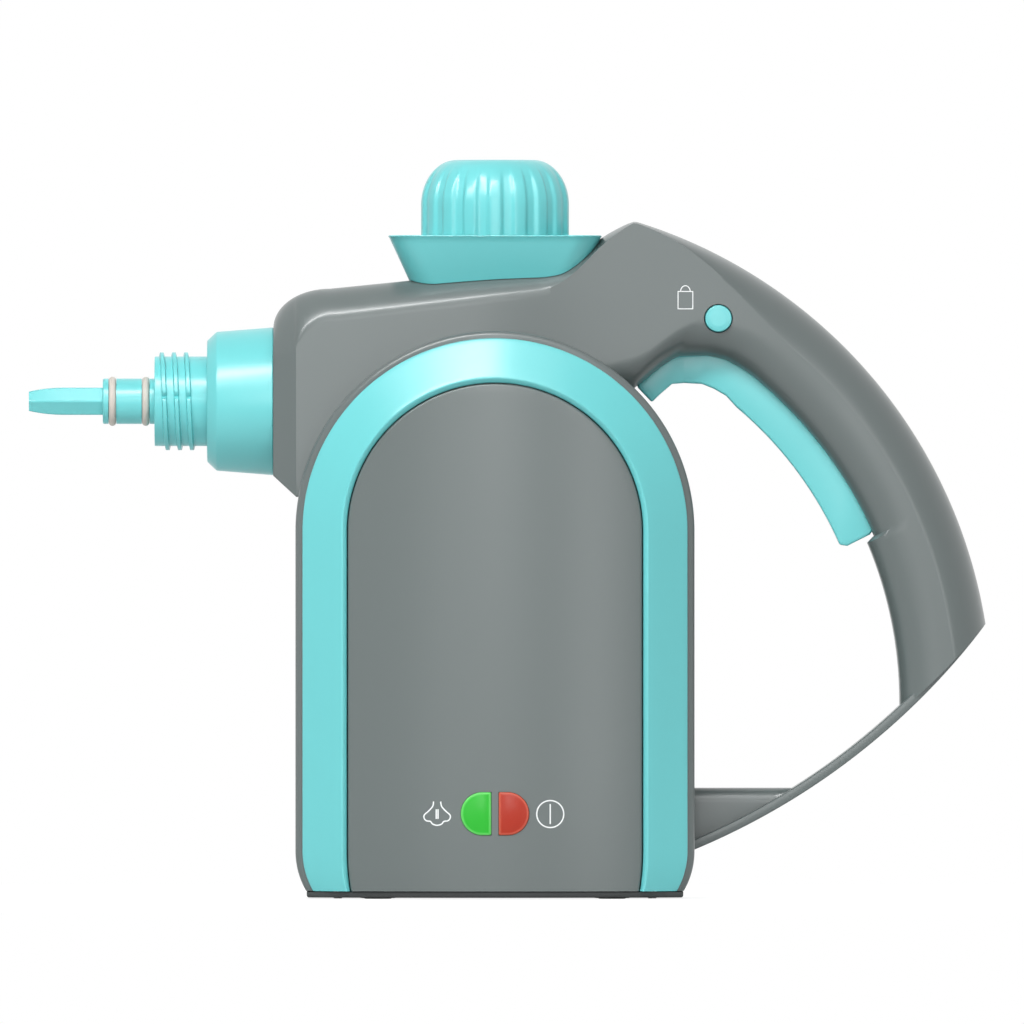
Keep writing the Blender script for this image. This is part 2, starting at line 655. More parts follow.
def gussetSurface():
    # Web between the body and the strap: a round-topped section whose floor follows the strap
    middle = strap["radius"] - strap["thickness"] / 2
    end = strap["x"] + math.sqrt(middle ** 2 - (strap["z"] - strap["gussetTop"] + strap["gussetTip"]) ** 2)
    x = np.linspace(body["radius"] - body["wall"], end, strap["gussetSteps"])
    floor = strap["z"] - np.sqrt(middle ** 2 - (x - strap["x"]) ** 2)
    tall = (strap["gussetTop"] - floor)[:, None]
    r = np.minimum(strap["gussetRound"], tall * strap["gussetShare"])
    turn = np.linspace(0, np.pi / 2, 10)[None, :]
    half = strap["gussetHalf"]
    b = np.concatenate([half + 0 * tall, half - r + r * np.cos(turn)], axis=1)
    z = floor[:, None] + np.concatenate([0 * tall, tall - r + r * np.sin(turn)], axis=1)
    b, z = np.concatenate([b, -b[:, ::-1]], axis=1), np.concatenate([z, z[:, ::-1]], axis=1)
    return tubeSurface("gusset", joined(x[:, None], b, z))


trigger = {
    "pivot": (0.0609, 0.1755), "halfWidth": 0.0095, "sweep": 0.0086, "slotGap": 0.0006, "slotTurn": 0.4,
    "x": -0.0002, "z": 0.063, "radius": 0.1178, "hidden": 0.1348, "from": 40.0, "hiddenTo": 35.0,
    "tip": (0.1100, 0.1100), "corner": (0.1171, 0.1136), "hub": 0.0044, "hubTurn": (20, 120), "edge": 0.0009,
    "tipTurn": 0.6, "cornerTurn": 1.2,
    "underside": ((0.0450, 0.1616), (0.0444, 0.1597), (0.0490, 0.1549), (0.0517, 0.1575), (0.0553, 0.1606),
                  (0.0591, 0.1609), (0.0647, 0.1606), (0.0684, 0.1591), (0.0722, 0.1569)),
    "back": ((0.0512, 0.1682), (0.0470, 0.1655)),
    "hubHalf": 0.0062, "armEnd": 0.0285, "armHeight": 0.0055, "stemTop": 0.1747, "valveX": 0.030,
    "armRise": 0.8, "armNose": 0.5, "cheekPast": 0.004, "cheekTall": 0.02,
    "pinRadius": 0.0022, "pinReach": 0.03, "guardHalf": 0.05,
    "facetX": (0.0563, 0.0590, 0.0638), "facetShare": (1.0, 0.955, 1.0),
}
lock = {
    "x": 0.0697, "z": 0.1810, "radius": 0.0042, "half": 0.0208, "waist": 0.0028, "waistHalf": 0.007,
    "flange": 0.0048, "flangeFrom": 0.0085, "flangeTo": 0.0098,
    "faceShare": 0.6, "edge": 0.0002, "bevel": 0.0006, "round": 0.0003,
}
lamp = {
    "z": 0.0267, "radius": 0.0067, "flat": 0.0028, "spacing": 0.0023, "proud": 0.0004, "back": 0.004,
    "hole": 0.0001, "edge": 0.0005,
}
gland = {"z": 0.045, "radius": 0.0050}


def arcPoints(circle, radius, start, end, count):
    # Part of a circle about the middle that these settings name, its turn counted from straight up
    turn = np.radians(np.linspace(start, end, count))
    return joined(circle["x"] + radius * np.sin(turn), circle["z"] + radius * np.cos(turn))


def lensOutline(side, grow, count=40):
    # A D: flat towards the middle, half round outwards
    flat = lamp["spacing"] / 2 - grow
    middle = lamp["spacing"] / 2 + lamp["flat"]
    r = lamp["radius"] + grow
    turn = np.linspace(np.pi / 2, -np.pi / 2, count)
    bow = joined(middle + r * np.cos(turn), lamp["z"] + r * np.sin(turn))
    return np.concatenate([[(flat, lamp["z"] - r), (flat, lamp["z"] + r)], bow]) * np.array([side, 1])


def triggerSlot():
    # The room in which the trigger moves, up to a round guard that covers the body's arch
    reach = trigger["halfWidth"] + trigger["slotGap"]
    inner = handle["outer"] - handle["thickness"] - handle["rootDrop"]
    outer = trigger["hidden"] + trigger["sweep"]
    first, last = handle["apexTurn"], handle["triggerEnd"] + trigger["slotTurn"]
    outline = [arcPoints(handle, outer, first, last, 60), arcPoints(handle, inner, last, first, 60)]
    slot = plateSurface("slot", np.concatenate(outline), -reach, reach)
    ends = [(0, side * trigger["guardHalf"], body["archHeight"]) for side in (-1, 1)]
    guard = pin("guard", body["radius"], *ends, 160)
    return combine(slot, [guard], "DIFFERENCE")


openings = {
    "below": 0.002, "hollowEnd": 76.0, "hollowFine": 0.6,
    "filler": 0.016, "fillerLow": 0.03, "fillerHigh": 0.05, "nose": 0.0199, "noseOut": 0.004, "noseIn": 0.01,
    "glandIn": 0.006, "glandOut": 0.004, "lockFrom": 0.007, "lockTo": 0.04, "lensOut": 0.004, "lensIn": 0.006,
    "caseScrews": ((-0.0560, 0.1775), (0.0478, 0.1978), (0.1388, 0.0846)),
    "post": 0.005, "postWall": 0.0015, "head": 0.0031, "headFrom": 0.010, "headOut": 0.004,
    "shank": 0.0016, "shankFrom": -0.002, "shankTo": 0.02, "blockHalf": 0.3,
}


def housingShell():
    # The outside as one solid, then its hollow, the trigger's slot and the round holes
    low, wall = body["low"], body["wall"]
    drum = archSolid("drum", body["radius"], rimDepth, 1.0, low, edge=body["rimRound"])
    panelTuck = body["panelTuckShare"]
    panel = archSolid("panel", body["panelRadius"], panelDepth, panelTuck, low, edge=body["panelRound"])
    upper = neckHandle("upper")
    combine(upper, [handleCut()], "INTERSECT")
    shell = combine(drum, [panel, upper, strapSurface(), gussetSurface()], "UNION")
    print("housing outside:", len(shell.data.polygons), "faces")
    floor = low - openings["below"]
    hollow = archSolid("drumHollow", body["radius"], rimDepth, 1.0, floor, grow=-wall)
    panelHollow = archSolid("panelHollow", body["panelRadius"], panelDepth, panelTuck, floor, grow=-wall)
    upperHollow = neckHandle("upperHollow", -wall, openings["hollowEnd"], openings["hollowFine"])
    combine(hollow, [panelHollow, upperHollow], "UNION")
    combine(shell, [hollow, triggerSlot()], "DIFFERENCE")
    top, front, rear = body["archHeight"] + body["radius"], -neck["front"], body["radius"]
    holes = (("filler", openings["filler"], (0, 0, top - openings["fillerLow"]),
              (0, 0, top + openings["fillerHigh"]), 64),
             ("noseHole", openings["nose"], (front - openings["noseOut"], 0, nozzle["z"]),
              (front + openings["noseIn"], 0, nozzle["z"]), 64),
             ("glandHole", gland["radius"] + gap, (rear - openings["glandIn"], 0, gland["z"]),
              (rear + openings["glandOut"], 0, gland["z"]), 48))
    combine(shell, [pin(*hole) for hole in holes], "DIFFERENCE")
    print("housing hollowed:", len(shell.data.polygons), "faces")
    return shell


def screwPosts(half):
    # A post with a stepped hole for each case screw that shows
    for x, z in openings["caseScrews"]:
        reach = screwWall(x, z)
        combine(half, [pin("post", openings["post"], (x, gap / 2, z), (x, reach - openings["postWall"], z))],
                "UNION")
        holes = (("headHole", openings["head"], openings["headFrom"], reach + openings["headOut"]),
                 ("shankHole", openings["shank"], openings["shankFrom"], openings["shankTo"]))
        tools = [pin(name, r, (x, start, z), (x, end, z)) for name, r, start, end in holes]
        combine(half, tools, "DIFFERENCE")


def screwWall(x, z):
    # How far out the side of the neck or handle lies at a case screw
    degrees = math.degrees(math.atan2(x - handle["x"], z - handle["z"]))
    return float(sideHalf(x) if degrees < handle["apexTurn"] else handleHalf(np.array(degrees)))


def housings():
    # The shell parted at its middle plane, each half with its own holes
    shell = housingShell()
    far, front = openings["blockHalf"], -body["panelDepth"]
    for name, node, side in (("housingLeft", "housing_left", -1), ("housingRight", "housing_right", 1)):
        half = placed(name, shell.data.copy())
        keepLow, keepHigh = sorted((side * gap / 2, side * far))
        combine(half, [block("side", (-far, keepLow, -far), (far, keepHigh, far))], "INTERSECT")
        if side > 0:
            screwPosts(half)
        ends = [(lock["x"], side * openings[key], lock["z"]) for key in ("lockFrom", "lockTo")]
        combine(half, [pin("lockHole", lock["radius"] + gap, *ends, 64)], "DIFFERENCE")
        if side < 0:
            near, deep = front - openings["lensOut"], front + openings["lensIn"]
            tools = [plateSurface("lensHole", lensOutline(end, lamp["hole"]), near, deep) for end in (-1, 1)]
            combine(half, tools, "DIFFERENCE")
        finished(half, "grey_plastic", node, sharp=32)
        print(name, len(half.data.polygons), "faces")
    bpy.data.objects.remove(shell)


# Turquoise trim bands

trim = {
    "outer": 0.0600, "edge": 0.0008, "proud": 0.0010, "chamfer": 0.0015, "chamferDrop": 0.0016,
    "round": 0.0005,
}


def archTrims():
    # One sloping section carried along the arch: outer step, slope up to a crest, bevel down to the panel
    inner = body["panelRadius"] + gap
    side, lift, height, tuck = archLine(body["low"], 1.0)
    outerX = side * (trim["outer"] - tuck)
    innerX = side * (inner - body["panelTuckShare"] * tuck)
    outerZ, innerZ = height + lift * trim["outer"], height + lift * inner
    crest = 1 - trim["chamfer"] / (trim["outer"] - inner)

    def row(share, depth):
        # The points along the arch at this share of the way inwards
        return joined(mixed(outerX, innerX, share), -depth, mixed(outerZ, innerZ, share))

    foot = rimDepth(outerX) + gap
    ridge = panelDepth(mixed(outerX, innerX, crest)) + trim["proud"]
    slope = [row(t * crest, mixed(foot + trim["edge"], ridge, t)) for t in np.linspace(0, 1, 8)]
    under = row(0.5, rimDepth(mixed(outerX, innerX, 0.5)) + gap)
    innerEdge = row(1.0, panelDepth(innerX) + trim["proud"] - trim["chamferDrop"])
    corners = [under, row(0.0, foot), *slope, innerEdge, row(1.0, rimDepth(innerX) + gap), under]
    rings = roundedProfile(corners, trim["round"]).transpose(1, 0, 2)
    bands = (("trimBandLeft", "arch_trim_left", 1), ("trimBandRight", "arch_trim_right", -1))
    for name, node, mirror in bands:
        band = tubeSurface(name, rings * np.array([1, mirror, 1]))
        finished(band, "teal_plastic", node, sharp=40)


# Base plate, feet

base = {
    "under": 0.0005, "top": 0.0022, "sideStep": 0.001, "round": 0.0008,
    "footX": 0.0365, "footY": 0.026, "footRadius": 0.00575, "footRecess": 0.0009,
    "footFlat": 0.0040, "footSlope": 0.0004, "footStep": 0.0002, "footBevel": 0.0006, "footTop": 0.0011,
    "footRound": 0.0003,
    "screwX": 0.049, "screwY": 0.0362, "screwHole": 0.0016, "below": -0.002, "above": 0.004,
}
fourCorners = [(sx, sy) for sx in (-1, 1) for sy in (-1, 1)]


def baseDepth(x):
    # Half depth of the plate: a step inside the panel, then straight on to the rim at the body's ends
    edge = body["panelRadius"]
    inner = panelDepth(np.clip(x, -edge, edge)) - base["sideStep"]
    share = np.clip((np.abs(x) - edge) / (body["radius"] - edge), 0, 1)
    return mixed(inner, rimDepth(body["radius"]), share)


def basePlate():
    # The plate's outline drawn in and dropped along a quarter circle at its lower edge
    end = body["radius"] - tuckIn(base["top"])
    x = np.linspace(-end, end, 90)
    y = baseDepth(x)
    outline = np.concatenate([joined(x, -y), joined(x[::-1], y[::-1])])
    inward = outline / np.linalg.norm(outline, axis=-1, keepdims=True)
    turn = np.linspace(0, np.pi / 2, 6)
    inset = np.append(base["round"] * (1 - np.sin(turn)), 0.0)
    level = np.append(base["under"] + base["round"] * (1 - np.cos(turn)), base["top"])
    flat = outline - inward * inset[:, None, None]
    plate = tubeSurface("basePlate", joined(flat[..., 0], flat[..., 1], level[:, None]))
    holes = []
    for sx, sy in fourCorners:
        footX, footY = sx * base["footX"], sy * base["footY"]
        screwX, screwY = sx * base["screwX"], sy * base["screwY"]
        recess = base["under"] + base["footRecess"]
        holes += [pin("recess", base["footRadius"] + gap, (footX, footY, base["below"]),
                      (footX, footY, recess), 48),
                  pin("screwHole", base["screwHole"], (screwX, screwY, base["below"]),
                      (screwX, screwY, base["above"]), 24)]
    combine(plate, holes, "DIFFERENCE")
    finished(plate, "dark_plastic", "base_pan", sharp=40)


def feet():
    # Turned rubber feet: a flat tread, a low step round it and a bevelled edge
    radius, step, top = base["footRadius"], base["footStep"], base["footTop"]
    tread, soft = base["footFlat"], base["footRound"]
    corners = [(axisHole, 0.0), (tread, 0.0), (tread + base["footSlope"], step), (radius - soft, step),
               (radius, base["footBevel"]), (radius, top), (axisHole, top)]
    line = roundedProfile(corners, soft, 3)
    for number, (sx, sy) in enumerate(fourCorners, 1):
        middle = (sx * base["footX"], sy * base["footY"], 0)
        foot = spun(f"rubberFoot{number}", line, middle, "z", 48)
        finished(foot, "black_rubber", f"foot_{number}", sharp=35)


# Nozzle group

nozzle = {
    "z": 0.1552, "collarRear": 0.0231, "collarFront": 0.0217, "collarFace": 0.0189, "collarLength": 0.0207,
    "collarBore": 0.012, "collarSink": 0.0022, "collarRound": 0.0004, "chamfer": 0.003,
    "spigot": 0.014, "spigotLength": 0.0164, "spigotBore": 0.002, "spigotSink": 0.002, "edge": 0.0002,
    "crest": 0.0013, "pitch": 0.0038, "crestWidth": 0.0017, "crestEnd": 0.0022, "turns": 3, "flank": 0.0003,
    "stem": 0.0071, "stemLength": 0.0162, "stemEdge": 0.0003, "stemBore": 0.003,
    "ring": 0.0077, "ringHalf": 0.00115, "ringPlaces": (0.0028, 0.0132), "ringGap": 0.0001,
    "jetHalfHeight": 0.00425, "jetEndHalf": 0.00303, "jetLength": 0.0231, "jetTaper": 0.0112,
    "jetBow": 2.1, "jetCorner": 1.125, "jetEdge": 0.0003, "bore": 0.001, "boreDepth": 0.006,
    "seat": 0.00005, "seamCut": 0.85, "seamDepth": 0.00012,
    # turn and widths of the mould's parting line, in radians
    "seamTurn": -0.11, "seamCutWidth": 0.045, "seamWidth": 0.014,
}


def nozzleGroup():
    # Collar against the neck's face, then the threaded spigot with its stem, two seal rings and the jet
    z, edge, spigot, stem = nozzle["z"], nozzle["edge"], nozzle["spigot"], nozzle["stem"]
    rear = -(neck["front"] + nozzle["seat"])
    face = rear - nozzle["collarLength"]
    bore, sunk = nozzle["collarBore"], face + nozzle["collarSink"]
    corners = [(bore, rear), (nozzle["collarRear"], rear), (nozzle["collarFront"], face + nozzle["chamfer"]),
               (nozzle["collarFace"], face), (spigot + gap, face), (spigot + gap, sunk), (bore, sunk)]
    collar = spun("nozzleCollar", roundedProfile(corners, nozzle["collarRound"]), (0, 0, z), "x", 128)
    finished(collar, "teal_plastic", "nozzle_collar", sharp=34)

    bodyEnd = face - nozzle["spigotLength"]
    stemEnd = bodyEnd - nozzle["stemLength"]
    firstCrest = bodyEnd + nozzle["crestEnd"]

    def thread(turn, x):
        # Helical ridge: its middle moves on by one pitch a turn. It is flat topped and nearly cut through at
        # the mould's parting line, which leaves a fine groove too
        phase = (x - firstCrest) / nozzle["pitch"] - (turn - np.pi / 2) / (2 * np.pi)
        number = np.round(phase)
        ridge = (nozzle["crestWidth"] / 2 - np.abs(phase - number) * nozzle["pitch"]) / nozzle["flank"]
        shown = (number > -0.5) & (number < nozzle["turns"] - 0.5)
        away = np.abs(np.mod(turn - nozzle["seamTurn"] + np.pi / 2, np.pi) - np.pi / 2)
        kept = 1 - nozzle["seamCut"] * np.exp(-(away / nozzle["seamCutWidth"]) ** 2)
        groove = nozzle["seamDepth"] * np.exp(-(away / nozzle["seamWidth"]) ** 2)
        inside = (x < face - edge) & (x > bodyEnd + 2 * edge)
        return inside * (nozzle["crest"] * np.clip(ridge, 0, 1) * shown * kept - groove)

    start = face + nozzle["spigotSink"]
    line = [(nozzle["spigotBore"], start)]
    line += [(spigot, along) for along in np.linspace(start, bodyEnd + edge, 220)]
    line += [(spigot - edge, bodyEnd), (stem + edge, bodyEnd), (stem, bodyEnd - edge)]
    half = nozzle["ringHalf"]
    groove, reach = nozzle["ring"] - 2 * half - nozzle["ringGap"], half + nozzle["ringGap"]
    for place in nozzle["ringPlaces"]:
        middle = bodyEnd - place
        line += [(stem, middle + reach), (groove, middle + reach), (groove, middle - reach),
                 (stem, middle - reach)]
    tipEdge = nozzle["stemEdge"]
    line += [(stem, stemEnd + tipEdge), (stem - tipEdge, stemEnd), (nozzle["stemBore"], stemEnd)]
    made = spun("threadedSpigot", line, (0, 0, z), "x", 180, thread)
    finished(made, "teal_plastic", "nozzle_spigot", sharp=38)
    sealRings(bodyEnd)
    jet(stemEnd)


def sealRings(bodyEnd):
    # Two round rings in the stem's grooves
    half = nozzle["ringHalf"]
    turn = np.linspace(0, 2 * np.pi, 24, endpoint=False)
    angle = np.linspace(0, 2 * np.pi, 96, endpoint=False)[:, None]
    radii = nozzle["ring"] - half + half * np.cos(turn)
    rings = (("sealRingRear", "o_ring_rear"), ("sealRingFront", "o_ring_front"))
    for (name, node), place in zip(rings, nozzle["ringPlaces"]):
        spot = bodyEnd - place + half * np.sin(turn)
        around = joined(spot, radii * np.cos(angle), nozzle["z"] + radii * np.sin(angle))
        finished(tubeSurface(name, around, False), "beige_rubber", node, sharp=60)


def jet(stemEnd):
    # Six-sided tip with an edge towards the viewer: a round form pressed to a hexagon, drawn in at its end
    start, end = stemEnd - nozzle["seat"], stemEnd - nozzle["jetLength"]
    taper = end + nozzle["jetTaper"]
    x = np.concatenate([np.linspace(start, taper, 8), np.linspace(taper, end, 24)[1:]])
    share = np.clip((taper - x) / nozzle["jetTaper"], 0, 1)
    half = mixed(nozzle["jetHalfHeight"], nozzle["jetEndHalf"], share ** nozzle["jetBow"])
    turn = np.linspace(0, 2 * np.pi, 96, endpoint=False)
    sector = np.mod(turn + np.pi, np.pi / 3) - np.pi / 6
    hexagon = np.minimum(1 / np.cos(sector), nozzle["jetCorner"])
    mouth = np.array([half[-1] - nozzle["jetEdge"], nozzle["bore"], nozzle["bore"]])
    r = np.concatenate([half[:, None] * hexagon, np.outer(mouth, np.ones(len(turn)))])
    x = np.concatenate([x, [end, end, end + nozzle["boreDepth"]]])
    tip = tubeSurface("jetTip", joined(x[:, None], r * np.cos(turn), nozzle["z"] + r * np.sin(turn)))
    finished(tip, "teal_plastic", "jet_tip", sharp=20)


# Filling tray and safety cap

tray = {
    "top": 0.2069, "topHalf": 0.0333, "waistHalf": 0.0256, "waist": 0.1903, "floor": 0.2018,
    "floorHalf": 0.0255, "floorRound": 0.0008, "floorEdge": 0.0006, "rim": 0.0017, "depthShare": 0.94,
    "low": 0.180, "corner": 0.0085, "filler": 0.0146, "fillerLow": 0.17, "fillerHigh": 0.22,
    "lip": 0.0005, "lipIn": 0.6, "lipHalf": 0.5, "roofEnd": 60.0,
    # how much less the corner's radius is at the inner edge, under it, at the floor's edge, on the floor
    "cornerLess": (0.0008, 0.001, 0.0015, 0.002),
}


def squareRing(half, z, corner, count=14):
    # Rounded square: straight sides joined by quarter circles
    hx, hy = half, half * tray["depthShare"]
    turn = np.linspace(0, np.pi / 2, count)
    quarter = joined(hx - corner + corner * np.cos(turn), hy - corner + corner * np.sin(turn))
    flips = [(1, 1, 1), (-1, 1, -1), (-1, -1, 1), (1, -1, -1)]
    parts = [(quarter if order > 0 else quarter[::-1]) * np.array([fx, fy]) for fx, fy, order in flips]
    ring = np.concatenate(parts)
    return joined(ring[:, 0], ring[:, 1], z)


def fillingTray():
    # Rounded squares from the low end up the outside, over the lip and down the inside to the floor
    slope = (tray["topHalf"] - tray["waistHalf"]) / (tray["top"] - tray["waist"])
    lowHalf = tray["waistHalf"] - slope * (tray["waist"] - tray["low"])
    lip, floor, floorHalf, corner = tray["lip"], tray["floor"], tray["floorHalf"], tray["corner"]
    innerTop = tray["topHalf"] - tray["rim"]
    wallSlope = (innerTop - floorHalf) / (tray["top"] - floor)
    heights = np.linspace(tray["low"], tray["top"] - lip, 14)
    levels = [(lowHalf + slope * (h - tray["low"]), h, corner) for h in heights]
    for turn in np.linspace(0.25, 1, 4) * np.pi / 2:
        inset, drop = lip * tray["lipIn"] * (1 - math.cos(turn)), lip * (1 - math.sin(turn))
        levels.append((tray["topHalf"] - inset, tray["top"] - drop, corner))
    half, rise = lip * tray["lipHalf"], tray["floorRound"]
    inside = ((innerTop + half, tray["top"]), (innerTop, tray["top"] - half),
              (floorHalf + wallSlope * rise, floor + rise), (floorHalf - tray["floorEdge"], floor))
    levels += [(*level, corner - less) for level, less in zip(inside, tray["cornerLess"])]
    made = tubeSurface("fillingTray", np.array([squareRing(*level) for level in levels]))
    combine(made, [neckHandle("roofCut", gap, tray["roofEnd"])], "DIFFERENCE")
    ends = (0, 0, tray["fillerLow"]), (0, 0, tray["fillerHigh"])
    combine(made, [pin("fillerHole", tray["filler"], *ends, 64)], "DIFFERENCE")
    finished(made, "teal_plastic", "tray", sharp=35)


cap = {
    "radius": 0.0233, "top": 0.2306, "low": 0.2045, "flat": 0.012, "dome": 0.0141, "edge": 0.0005,
    "wall": 0.0023, "flutes": 18, "depth": 0.0010, "ribShare": 0.18, "sharpness": 2.6, "fadeFrom": 0.35,
    "fadeTo": 0.98, "topShares": (0.8, 0.4, 0.05), "fluteSteps": 24,
}


def safetyCap():
    # Skirt, quarter-ellipse shoulder and flat top. The flutes are a softened square wave round it that dies
    # out on the shoulder; the inside is plain, one wall smaller
    shoulder, roof = cap["top"] - cap["dome"], cap["top"] - cap["wall"]
    topShares = np.array(cap["topShares"])
    turn = np.linspace(0, np.pi / 2, 40)
    skirt = np.linspace(cap["low"] + cap["edge"], shoulder, 10)[:-1]
    z = np.concatenate([[cap["low"]], skirt, shoulder + cap["dome"] * np.sin(turn),
                        np.full(len(topShares), cap["top"])])
    r = np.concatenate([[cap["radius"] - cap["edge"]], np.full(len(skirt), cap["radius"]),
                        mixed(cap["flat"], cap["radius"], np.cos(turn)), cap["flat"] * topShares])
    angle = np.linspace(0, 2 * np.pi, cap["flutes"] * cap["fluteSteps"], endpoint=False)
    wave = np.cos(cap["flutes"] * (angle + np.pi / 2)) + cap["ribShare"]
    groove = 0.5 - 0.5 * np.tanh(cap["sharpness"] * wave)
    up = (z - shoulder) / cap["dome"]
    fade = 1 - eased((up - cap["fadeFrom"]) / (cap["fadeTo"] - cap["fadeFrom"]))
    outside = r[:, None] - cap["depth"] * fade[:, None] * groove
    within = cap["radius"] - cap["wall"]
    inside = np.outer([cap["flat"] * topShares[-1], cap["flat"], within, within], np.ones(len(angle)))
    radius = np.concatenate([inside, outside])
    height = np.concatenate([[roof, roof, roof - cap["dome"] / 2, cap["low"]], z])
    made = tubeSurface("capDome", joined(radius * np.cos(angle), radius * np.sin(angle), height[:, None]))
    finished(made, "teal_plastic", "cap_shell", sharp=40, body="cap")


# Trigger and lock button

def triggerBlade():
    # Flat outline of arcs and short runs carried across the handle, with rounded edges
    t = trigger
    tipTurn = math.degrees(math.atan2(t["tip"][0] - t["x"], t["tip"][1] - t["z"]))
    cornerTurn = math.degrees(math.atan2(t["corner"][0] - handle["x"], t["corner"][1] - handle["z"]))
    blade = arcPoints(t, t["radius"], t["from"], tipTurn - t["tipTurn"], 60)
    hidden = arcPoints(handle, t["hidden"], cornerTurn - t["cornerTurn"], t["hiddenTo"], 50)
    hub = np.radians(np.linspace(*t["hubTurn"], 16))
    px, pz = t["pivot"]
    hubLine = joined(px + t["hub"] * np.cos(hub), pz + t["hub"] * np.sin(hub))
    lowArm, tall = t["stemTop"] + gap, t["armHeight"]
    arm = [(t["armEnd"] + tall, lowArm + tall * t["armRise"]), (t["armEnd"], lowArm + tall * t["armNose"]),
           (t["armEnd"], lowArm), (t["valveX"] + tall, lowArm), (px - t["hub"], lowArm - gap)]
    outline = [t["underside"], blade, [t["tip"], t["corner"]], hidden, hubLine, arm, t["back"]]
    made = plateSurface("triggerBlade", np.concatenate(outline), -t["halfWidth"], t["halfWidth"])
    cheeks = []
    for side in (-1, 1):
        near, far = sorted((side * t["hubHalf"], side * (t["halfWidth"] + t["cheekPast"])))
        cheeks.append(block("cheek", (t["armEnd"] - t["cheekPast"], near, pz - t["hub"] - gap),
                            (px + t["hub"] + gap, far, pz + t["cheekTall"])))
    combine(made, cheeks, "DIFFERENCE")
    edged(made, t["edge"])
    facetted(made)
    ends = [(px, side * t["pinReach"], pz) for side in (-1, 1)]
    combine(made, [pin("pinBore", t["pinRadius"], *ends)], "DIFFERENCE")
    finished(made, "teal_plastic", "trigger", sharp=30, body="trigger")


def facetted(made):
    # Two facets cross the sides between tail and blade: cut at each line, then drawn in along a shallow V
    work = bmesh.new()
    work.from_mesh(made.data)
    for x in trigger["facetX"]:
        bmesh.ops.bisect_plane(work, geom=work.verts[:] + work.edges[:] + work.faces[:],
                               plane_co=(x, 0, 0), plane_no=(1, 0, 0))
    for vert in work.verts:
        vert.co.y *= np.interp(vert.co.x, trigger["facetX"], trigger["facetShare"])
    work.to_mesh(made.data)
    work.free()


def lockButton():
    # Pin with a flange inside each wall and a waist in the middle; its profile is mirrored to the far side
    end, r, edge, waistHalf = lock["half"], lock["radius"], lock["edge"], lock["waistHalf"]
    flange, near, far = lock["flange"], lock["flangeFrom"], lock["flangeTo"]
    corners = [(axisHole, end), (r * lock["faceShare"], end), (r - edge, end - edge),
               (r, end - lock["bevel"]), (r, far), (flange, far), (flange, near), (r, near),
               (r, waistHalf), (lock["waist"], waistHalf)]
    line = roundedProfile(corners, lock["round"])
    line = np.concatenate([line, (line * np.array([1, -1]))[::-1]])
    made = spun("lockButton", line, (lock["x"], 0, lock["z"]), "y", 64)
    finished(made, "teal_plastic", "lock_bolt", sharp=35, body="lock_bolt")


def lamps():
    # Two D-shaped lenses in the front panel, flat sides towards each other
    front = body["panelDepth"]
    lenses = (("lensGreen", "lens_green", -1, "green"), ("lensRed", "lens_red", 1, "red"))
    for name, node, side, key in lenses:
        flatX = side * lamp["spacing"] / 2 + centreX
        look = lampLens(name + "Plastic", key, side, flatX, flatX + side * lamp["flat"], lamp["z"],
                        lamp["radius"])
        lens = plateSurface(name, lensOutline(side, 0.0), -(front + lamp["proud"]), -(front - lamp["back"]))
        edged(lens, lamp["edge"])
        finished(lens, key + "_lens", node, sharp=30, look=look)


# Printed symbols: flat strokes laid on the surface below them

symbols = {
    "stroke": 0.00042, "fineStroke": 0.0003, "thickness": 0.00006, "lift": 0.00002,
    "power": (0.0172, 0.0266), "powerRadius": 0.0042, "powerBar": 0.0031,
    "steam": (-0.0180, 0.0266), "steamBar": 0.0015, "steamBarHalf": 0.00028,
    "steamHalf": ((0.0011, 0.0039), (0.0014, 0.0024), (0.0027, 0.0009), (0.0040, -0.0003), (0.0040, -0.0014),
                  (0.0033, -0.0021), (0.0021, -0.0023), (0.0014, -0.0031), (0.0, -0.0035)),
    "padlock": (0.0594, 0.1867), "padlockHalf": (0.0023, 0.0027), "shackle": (0.0015, 0.0018),
}


def stroke(points, width, closed):
    # Ribbon of constant width: points shifted both ways along the line's normal
    p = np.asarray(points, float)
    ahead = np.roll(p, -1, axis=0) - p
    behind = p - np.roll(p, 1, axis=0)
    if not closed:
        ahead[-1], behind[0] = behind[-1], ahead[0]
    ahead /= np.linalg.norm(ahead, axis=1, keepdims=True)
    behind /= np.linalg.norm(behind, axis=1, keepdims=True)
    along = ahead + behind
    along /= np.linalg.norm(along, axis=1, keepdims=True)
    miter = 1 / np.maximum(np.sum(along * ahead, axis=1, keepdims=True), 0.5)
    normal = joined(-along[:, 1], along[:, 0]) * width / 2 * miter
    return p + normal, p - normal


def symbol(name, lines, surface, width):
    # Each stroke becomes a thin closed ribbon whose depth follows the surface under it
    points, faces, count = [], [], 0
    for line, closed in lines:
        left, right = stroke(line, width, closed)
        n = len(left)
        x, z = np.stack([left, right, right, left], axis=1).transpose(2, 0, 1)
        depth = surface(x) + symbols["lift"] + np.array([1, 1, 0, 0]) * symbols["thickness"]
        points.append(joined(x, -depth, z).reshape(-1, 3))
        quads = gridFaces(n, 4, True, closed)
        if not closed:
            quads += [(3, 2, 1, 0), tuple(range((n - 1) * 4, n * 4))]
        faces += [tuple(i + count for i in f) for f in turnedOut(points[-1], quads)]
        count += n * 4
    mesh = bpy.data.meshes.new(name)
    mesh.from_pydata(np.concatenate(points).tolist(), [], faces)
    finished(placed(name, mesh), "grey_plastic", None, sharp=40, look=printInk)


def upright(x, low, high, count=6):
    # Points up a straight line
    return joined(x, np.linspace(low, high, count))


